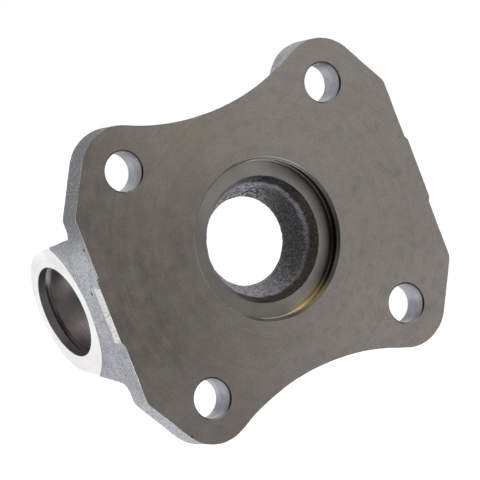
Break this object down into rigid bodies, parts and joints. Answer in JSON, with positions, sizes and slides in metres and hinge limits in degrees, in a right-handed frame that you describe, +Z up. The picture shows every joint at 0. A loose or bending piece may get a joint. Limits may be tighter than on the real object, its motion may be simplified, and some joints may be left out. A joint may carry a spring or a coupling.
{
  "type": "flange yoke",
  "caption": "Forged flange yoke: bored ears for the bearing caps of a joint cross, on a lobed bolt flange with a pilot recess and a pierced hub.",
  "frame": {"origin": "centre of the bolt circle, in the plane of the flange face", "axes": "+X along the axis of the bearing cap bores, +Y along the shaft axis from the flange face towards the ears, +Z up"},
  "size_m": [0.106, 0.0535, 0.0928],
  "materials": {
    "forged_steel": "as forged and shot blasted, with machined flange face, pilot, bolt holes, ear faces and cap bores"
  },
  "bodies": {
    "root": {"flange_yoke": "forged_steel"}
  },
  "joints": []
}
